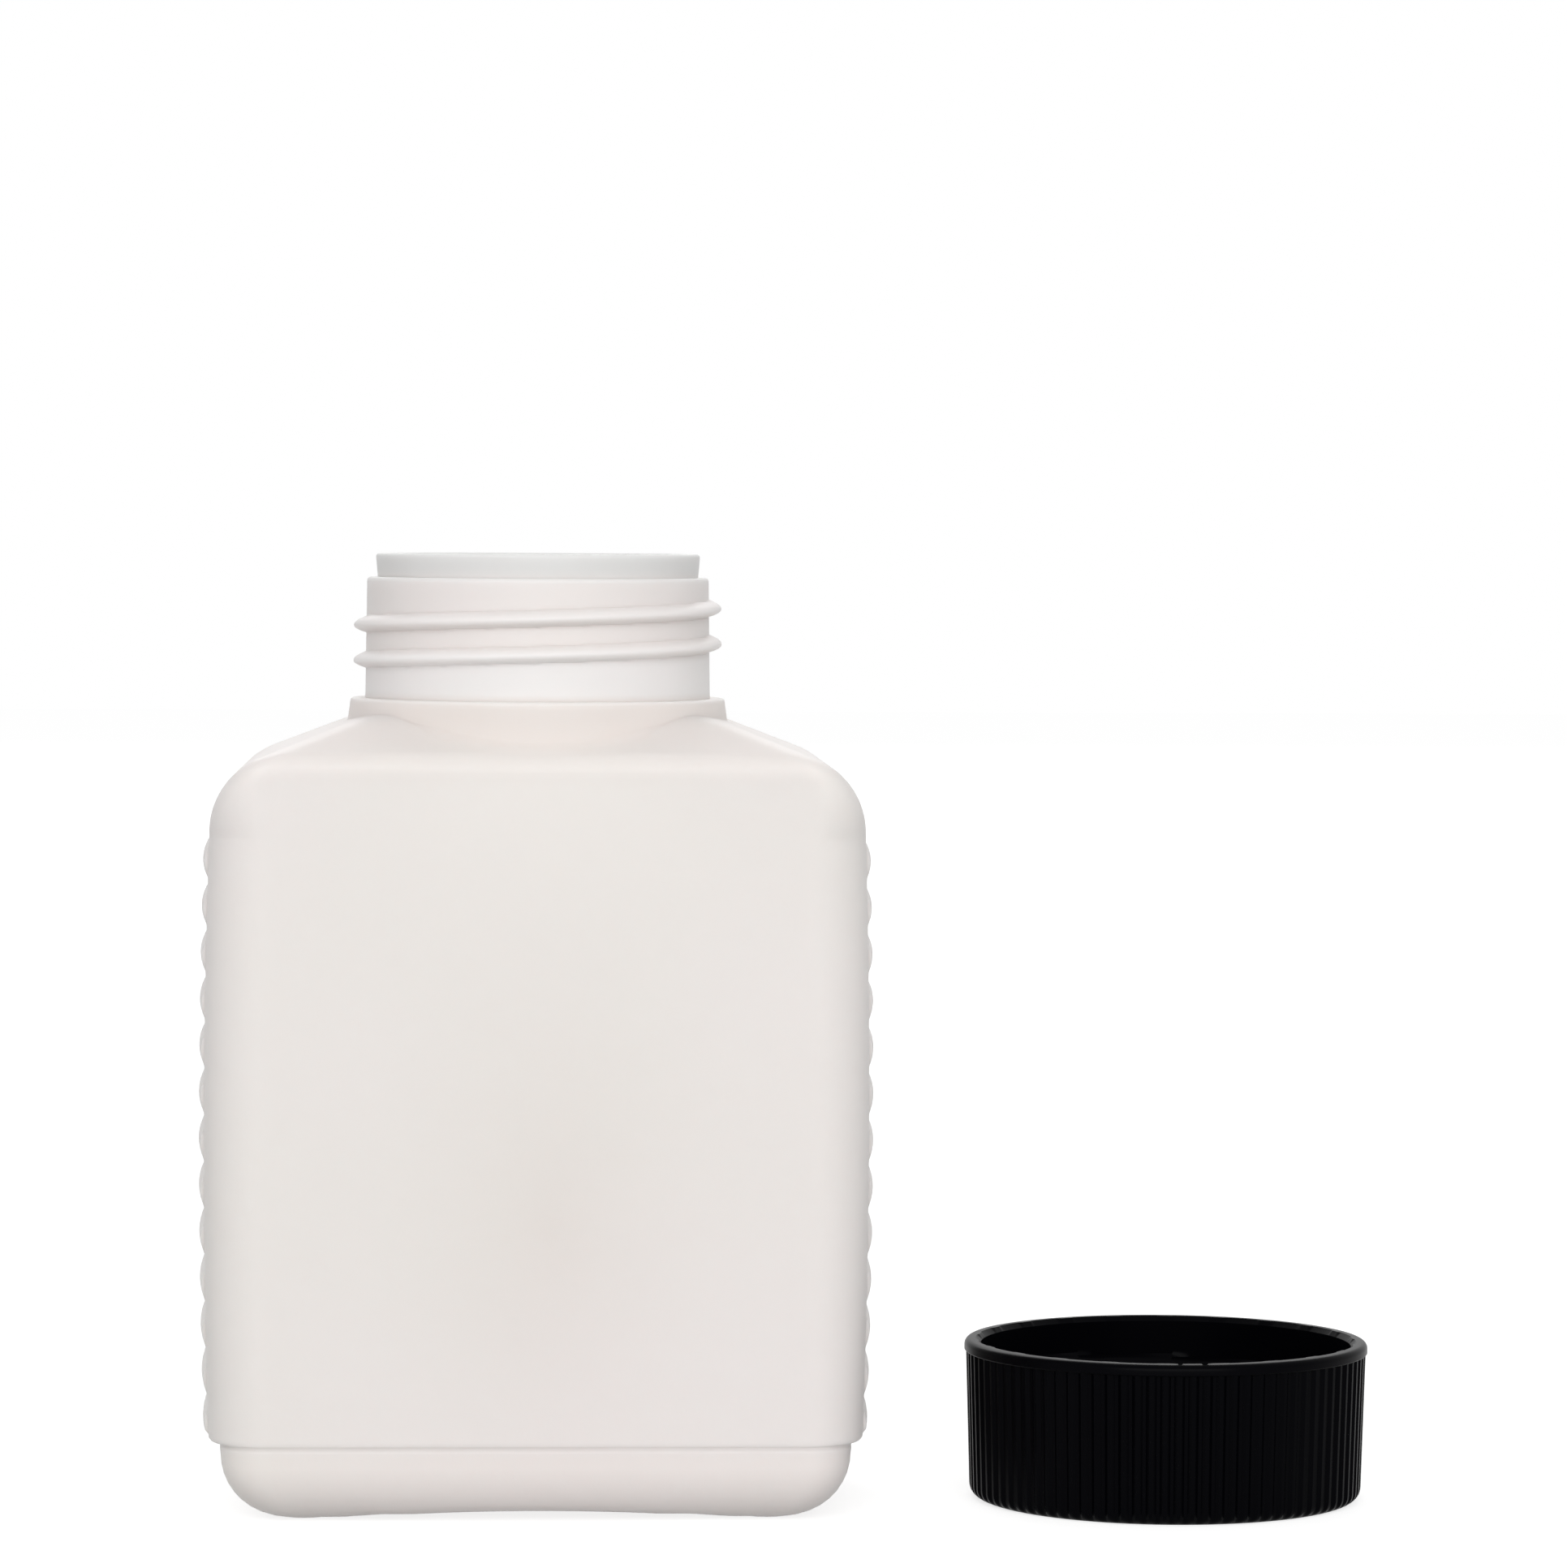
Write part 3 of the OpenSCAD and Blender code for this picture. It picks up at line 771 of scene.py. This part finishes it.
def make_cap(finish, thread):
    skin = Skin(knurl_share=0.0, pad_share=0.0, thread_share=0.0)

    # Closed end, its round, and the knurled skirt
    foot_r = KNURL_R - CAP_DRAFT
    skin.add([cap_ring(r, 0.0) for r in (*END_RINGS, foot_r - CAP_ROUND)])
    for a in steps(7, 0.0, pi / 2)[1:]:
        ring = cap_ring(foot_r - CAP_ROUND * (1 - sin(a)), CAP_ROUND * (1 - cos(a)))
        skin.add([ring], knurl_share=max(0.0, 1 - KNURL_FADE * (1 - sin(a))))
    skirt_top = CAP_H - BAND_H
    for z in steps(6, CAP_ROUND, skirt_top)[1:]:
        ring = cap_ring(foot_r + CAP_DRAFT * (z - CAP_ROUND) / (skirt_top - CAP_ROUND), z)
        skin.add([ring], knurl_share=1.0)

    # Smooth band, rounded lip, and its inner chamfer with the pads
    skin.add([cap_ring(CAP_R - CAP_EDGE / 2, skirt_top), cap_ring(CAP_R, skirt_top + CAP_EDGE / 2)])
    for a in steps(5, 0.0, pi / 2)[:-1]:
        lip_z = CAP_H - CAP_LIP_ROUND * (1 - sin(a))
        skin.add([cap_ring(CAP_R - CAP_LIP_ROUND * (1 - cos(a)), lip_z)])
    skin.add([lip_flat_ring(CAP_R - CAP_LIP_ROUND, CAP_H, NICK_DEPTH)])
    skin.add([lip_flat_ring(CAVITY_R + LEAD_W, CAP_H, NICK_DEPTH)], pad_share=1.0)
    skin.add([lip_flat_ring(CAVITY_R + LEAD_W / 2, CAP_H - LEAD_H / 2, NICK_DEPTH / 2)], pad_share=0.5)

    # Cavity with its thread, and the sealing ring at its end
    cavity = steps(44, CAP_H - LEAD_H, CAP_END + LAND_H)
    skin.add([cap_ring(CAVITY_R, z) for z in cavity], thread_share=1.0)
    skin.add(plug_rings())
    cap = skin_object("cap_body", skin)
    trees = ((knurl_tree(), knurl_sizes()), (thread, cap_thread_sizes()))
    shape_piece(cap, trees, finish, CAP_SHARP)
    return cap


# ---------------------------------------------------------------- materials

def new_material(name):
    material = bpy.data.materials.new(name)
    material.use_nodes = True
    tree = material.node_tree
    tree.nodes.clear()
    output = tree.nodes.new("ShaderNodeOutputMaterial")
    shader = tree.nodes.new("ShaderNodeBsdfPrincipled")
    tree.links.new(shader.outputs["BSDF"], output.inputs["Surface"])
    return material, tree, shader


def noise_on_object(tree, scale, detail):
    """Noise fixed to the object, at a scale in waves to the metre."""
    place = tree.nodes.new("ShaderNodeTexCoord")
    clouds = tree.nodes.new("ShaderNodeTexNoise")
    clouds.inputs["Scale"].default_value = scale
    clouds.inputs["Detail"].default_value = detail
    tree.links.new(place.outputs["Object"], clouds.inputs["Vector"])
    return clouds.outputs["Fac"]


def multiply(tree, first, second):
    """Colour socket of two colours multiplied."""
    mix = tree.nodes.new("ShaderNodeMix")
    mix.data_type = "RGBA"
    mix.blend_type = "MULTIPLY"
    mix.inputs["Factor"].default_value = 1.0
    tree.links.new(first, mix.inputs["A"])
    tree.links.new(second, mix.inputs["B"])
    return mix.outputs["Result"]


def painted_light_by_height(tree):
    """Painted shade: greyer on the shoulder under the collar, on the collar and towards the lip;
    painted light: whiter on the band under the thread.
    """
    place = tree.nodes.new("ShaderNodeTexCoord")
    axes = tree.nodes.new("ShaderNodeSeparateXYZ")
    height = tree.nodes.new("ShaderNodeMapRange")
    height.inputs["From Max"].default_value = TOP_Z * MM
    ramp = tree.nodes.new("ShaderNodeValToRGB")
    stops = ((RIDGE_Z - 9, BODY_TINT), (RIDGE_Z - 2, SHOULDER_SHADE), (COLLAR_Z - 0.5, COLLAR_SHADE),
             (COLLAR_Z + 1, BAND_LIGHT), (COLLAR_Z + 5.5, BAND_LIGHT), (COLLAR_Z + 7.5, THREAD_SHADE),
             (TOP_Z - LIP_H - 1, UPPER_NECK_SHADE), (TOP_Z - LIP_H + 1, LIP_SHADE))
    while len(ramp.color_ramp.elements) < len(stops):
        ramp.color_ramp.elements.new(0.5)
    for element, (z, colour) in zip(ramp.color_ramp.elements, stops):
        element.position = z / TOP_Z
        element.color = (*colour, 1)
    tree.links.new(place.outputs["Object"], axes.inputs["Vector"])
    tree.links.new(axes.outputs["Z"], height.inputs["Value"])
    tree.links.new(height.outputs["Result"], ramp.inputs["Fac"])
    return ramp.outputs["Color"]


def painted_panel_shade(tree):
    """Painted shade: a little greyer towards the middle of the wide panels."""
    place = tree.nodes.new("ShaderNodeTexCoord")
    spread = tree.nodes.new("ShaderNodeMapping")
    spread.vector_type = "TEXTURE"
    spread.inputs["Location"].default_value = PANEL_MIDDLE
    spread.inputs["Scale"].default_value = PANEL_SPREAD
    middle = tree.nodes.new("ShaderNodeTexGradient")
    middle.gradient_type = "QUADRATIC_SPHERE"
    ramp = tree.nodes.new("ShaderNodeValToRGB")
    ramp.color_ramp.elements[0].color = (1, 1, 1, 1)
    ramp.color_ramp.elements[1].color = (*PANEL_SHADE, 1)
    tree.links.new(place.outputs["Object"], spread.inputs["Vector"])
    tree.links.new(spread.outputs["Vector"], middle.inputs["Vector"])
    tree.links.new(middle.outputs["Fac"], ramp.inputs["Fac"])
    return ramp.outputs["Color"]


def natural_polyethylene():
    """Translucent, faintly warm, with the slow thick-and-thin of a blown wall, and with light and shade
    painted into its colour along the height and on the wide panels.
    """
    material, tree, shader = new_material("natural_polyethylene")
    tint = tree.nodes.new("ShaderNodeValToRGB")
    tint.color_ramp.elements[0].position = 0.38
    tint.color_ramp.elements[0].color = (0.845, 0.806, 0.770, 1)
    tint.color_ramp.elements[1].position = 0.62
    tint.color_ramp.elements[1].color = (0.868, 0.812, 0.790, 1)
    tree.links.new(noise_on_object(tree, 14, 1.5), tint.inputs["Fac"])
    # Painted light and shade along the height and painted shade on the wide panels, multiplied into the
    # colour
    painted_light_and_shade = multiply(tree, painted_light_by_height(tree), painted_panel_shade(tree))
    tree.links.new(multiply(tree, tint.outputs["Color"], painted_light_and_shade), shader.inputs["Base Color"])
    skin = tree.nodes.new("ShaderNodeBump")
    skin.inputs["Strength"].default_value = 0.15
    skin.inputs["Distance"].default_value = 0.0002
    tree.links.new(noise_on_object(tree, 320, 3), skin.inputs["Height"])
    tree.links.new(skin.outputs["Normal"], shader.inputs["Normal"])
    shader.inputs["Roughness"].default_value = 0.48
    shader.inputs["IOR"].default_value = 1.4
    shader.inputs["Subsurface Weight"].default_value = 1.0
    shader.inputs["Subsurface Radius"].default_value = (0.9, 0.95, 0.95)
    shader.inputs["Subsurface Scale"].default_value = 0.0022
    return material


def black_plastic():
    """Moulded black plastic, semi-gloss, with a fine even grain."""
    material, tree, shader = new_material("black_plastic")
    bump = tree.nodes.new("ShaderNodeBump")
    bump.inputs["Strength"].default_value = 0.12
    bump.inputs["Distance"].default_value = 0.00003
    tree.links.new(noise_on_object(tree, 2600, 2), bump.inputs["Height"])
    tree.links.new(bump.outputs["Normal"], shader.inputs["Normal"])
    shader.inputs["Base Color"].default_value = (0.0008, 0.0008, 0.0014, 1)
    shader.inputs["Roughness"].default_value = 0.28
    shader.inputs["IOR"].default_value = 1.09
    return material


# ---------------------------------------------------------------- stage, light and camera

AMBIENT = 0.53
KEY_WATTS = 48.0
BACK_WATTS = 21.0
FLOOR_BOUNCE = 0.3
FLOOR_FILL = 0.2
FLOOR_GLOW = 0.72
FLOOR_SHARE = 0.5


def seen_directly(tree):
    """1 for rays that show the stage as a background, 0 for the light that it gives off."""
    rays = tree.nodes.new("ShaderNodeLightPath")
    total = rays.outputs["Is Camera Ray"]
    for kind in ("Is Glossy Ray", "Is Transmission Ray"):
        either = tree.nodes.new("ShaderNodeMath")
        either.operation = "MAXIMUM"
        tree.links.new(total, either.inputs[0])
        tree.links.new(rays.outputs[kind], either.inputs[1])
        total = either.outputs["Value"]
    return total


def pale_floor():
    """White floor that shows as white and keeps the soft shadow."""
    bpy.ops.mesh.primitive_plane_add(size=8)
    floor_plane = bpy.context.object
    floor_plane.name = "floor"
    material = bpy.data.materials.new("floor_white")
    material.use_nodes = True
    tree = material.node_tree
    tree.nodes.clear()
    output = tree.nodes.new("ShaderNodeOutputMaterial")
    mix = tree.nodes.new("ShaderNodeMixShader")
    plain = tree.nodes.new("ShaderNodeBsdfDiffuse")
    plain.inputs["Color"].default_value = (FLOOR_BOUNCE, FLOOR_BOUNCE, FLOOR_BOUNCE, 1)
    glow = tree.nodes.new("ShaderNodeEmission")
    glow.inputs["Strength"].default_value = FLOOR_GLOW
    shaded = tree.nodes.new("ShaderNodeBsdfDiffuse")
    shaded.inputs["Color"].default_value = (FLOOR_SHARE, FLOOR_SHARE, FLOOR_SHARE, 1)
    both = tree.nodes.new("ShaderNodeAddShader")
    tree.links.new(glow.outputs["Emission"], both.inputs[0])
    tree.links.new(shaded.outputs["BSDF"], both.inputs[1])
    fill = tree.nodes.new("ShaderNodeEmission")
    fill.inputs["Strength"].default_value = FLOOR_FILL
    unseen = tree.nodes.new("ShaderNodeAddShader")
    tree.links.new(plain.outputs["BSDF"], unseen.inputs[0])
    tree.links.new(fill.outputs["Emission"], unseen.inputs[1])
    tree.links.new(seen_directly(tree), mix.inputs["Fac"])
    tree.links.new(unseen.outputs["Shader"], mix.inputs[1])
    tree.links.new(both.outputs["Shader"], mix.inputs[2])
    tree.links.new(mix.outputs["Shader"], output.inputs["Surface"])
    floor_plane.data.materials.append(material)


def soft_world():
    """Plain light all round, and white where it shows past the object."""
    world = bpy.data.worlds.new("studio")
    bpy.context.scene.world = world
    world.use_nodes = True
    tree = world.node_tree
    tree.nodes.clear()
    output = tree.nodes.new("ShaderNodeOutputWorld")
    mix = tree.nodes.new("ShaderNodeMixShader")
    ambient = tree.nodes.new("ShaderNodeBackground")
    ambient.inputs["Color"].default_value = (1, 1, 1, 1)
    ambient.inputs["Strength"].default_value = AMBIENT
    seen = tree.nodes.new("ShaderNodeBackground")
    seen.inputs["Color"].default_value = (1, 1, 1, 1)
    seen.inputs["Strength"].default_value = 1.0
    tree.links.new(seen_directly(tree), mix.inputs["Fac"])
    tree.links.new(ambient.outputs["Background"], mix.inputs[1])
    tree.links.new(seen.outputs["Background"], mix.inputs[2])
    tree.links.new(mix.outputs["Shader"], output.inputs["Surface"])


def soft_box(name, place, target, size, watts):
    light = bpy.data.lights.new(name, "AREA")
    light.shape = "RECTANGLE"
    light.size, light.size_y = size
    light.energy = watts
    obj = bpy.data.objects.new(name, light)
    bpy.context.scene.collection.objects.link(obj)
    obj.location = place
    obj.rotation_euler = (Vector(target) - Vector(place)).to_track_quat("-Z", "Y").to_euler()


def make_camera():
    """Long lens a metre in front, level with the space just above the neck."""
    place = Vector((-6.7, -942.8, 144.5)) * MM
    yaw, pitch, roll = radians(2.625), radians(-2.326), radians(0.287)
    focal_pixels, frame_pixels = 7836.0, 1932
    ahead = Vector((sin(yaw) * cos(pitch), cos(yaw) * cos(pitch), sin(pitch)))
    right = Vector((cos(yaw), -sin(yaw), 0))
    up = right.cross(ahead)
    turned_right = right * cos(roll) + up * sin(roll)
    turned_up = up * cos(roll) - right * sin(roll)
    data = bpy.data.cameras.new("camera")
    data.sensor_width = 36
    data.lens = data.sensor_width * focal_pixels / frame_pixels
    data.clip_start, data.clip_end = 0.01, 20
    camera = bpy.data.objects.new("camera", data)
    bpy.context.scene.collection.objects.link(camera)
    camera.matrix_world = Matrix.Translation(place) @ Matrix(
        (turned_right, turned_up, -ahead)).transposed().to_4x4()
    bpy.context.scene.camera = camera


# ---------------------------------------------------------------- assembly

thread = thread_tree()
bottle = make_bottle(natural_polyethylene(), thread)
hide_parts("bottle")
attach(bottle, "root")

cap = make_cap(black_plastic(), thread)
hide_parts("cap")
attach(cap, "root")

pale_floor()
soft_world()
soft_box("front_box", (0.0, -2.5, 1.0), (0, 0, 0.08), (3.0, 1.5), KEY_WATTS)
soft_box("back_box", (0.0, 2.2, 1.6), (0, 0, 0.08), (2.0, 1.2), BACK_WATTS)
make_camera()

bpy.context.scene.view_settings.view_transform = "Standard"
